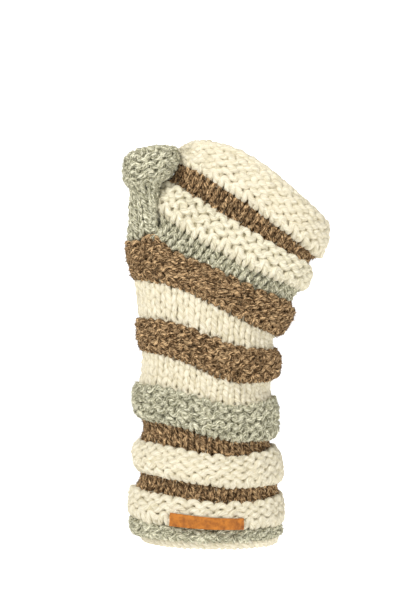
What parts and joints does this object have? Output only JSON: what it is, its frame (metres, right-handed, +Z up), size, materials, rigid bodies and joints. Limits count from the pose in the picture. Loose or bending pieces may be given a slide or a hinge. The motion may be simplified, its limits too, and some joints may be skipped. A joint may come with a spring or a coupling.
{
  "type": "knitted wrist warmer",
  "caption": "Long fingerless wrist warmer of chunky wool, a tube of puffed and sunken stripes with a short thumb tube and a leather strip, hollow and posed as worn",
  "frame": {"origin": "the middle of the wrist, inside the tube, where the wearer's wrist holds the garment up", "axes": "+Z runs up the forearm towards the fingers, -Y is the front with the leather strip, and the thumb tube stands on the -X side"},
  "size_m": [0.1459, 0.0907, 0.2791],
  "materials": {
    "cream_wool": "matt chunky wool knit",
    "ecru_wool": "matt chunky wool knit",
    "grey_marl_wool": "matt chunky wool knit, marled",
    "brown_heather_wool": "matt chunky wool knit, heathered",
    "tan_leather": "plain vegetable-tanned leather"
  },
  "bodies": {
    "root": {"hem_cream_edge": "cream_wool", "hem_grey_welt": "grey_marl_wool", "cuff_cream_welt_lower": "cream_wool", "cuff_brown_valley_lower": "brown_heather_wool", "cuff_cream_welt_upper": "cream_wool", "cuff_brown_valley_upper": "brown_heather_wool", "wrist_grey_welt": "grey_marl_wool", "wrist_cream_valley_lower": "cream_wool", "wrist_brown_welt": "brown_heather_wool", "wrist_cream_valley_upper": "cream_wool", "thumb_base_brown_welt": "brown_heather_wool", "palm_grey_valley": "grey_marl_wool", "palm_ecru_welt": "ecru_wool", "knuckle_brown_valley": "brown_heather_wool", "knuckle_cream_welt": "cream_wool", "thumb_grey_knit": "grey_marl_wool", "thumb_grey_welt": "grey_marl_wool", "label_leather": "tan_leather"}
  },
  "joints": []
}
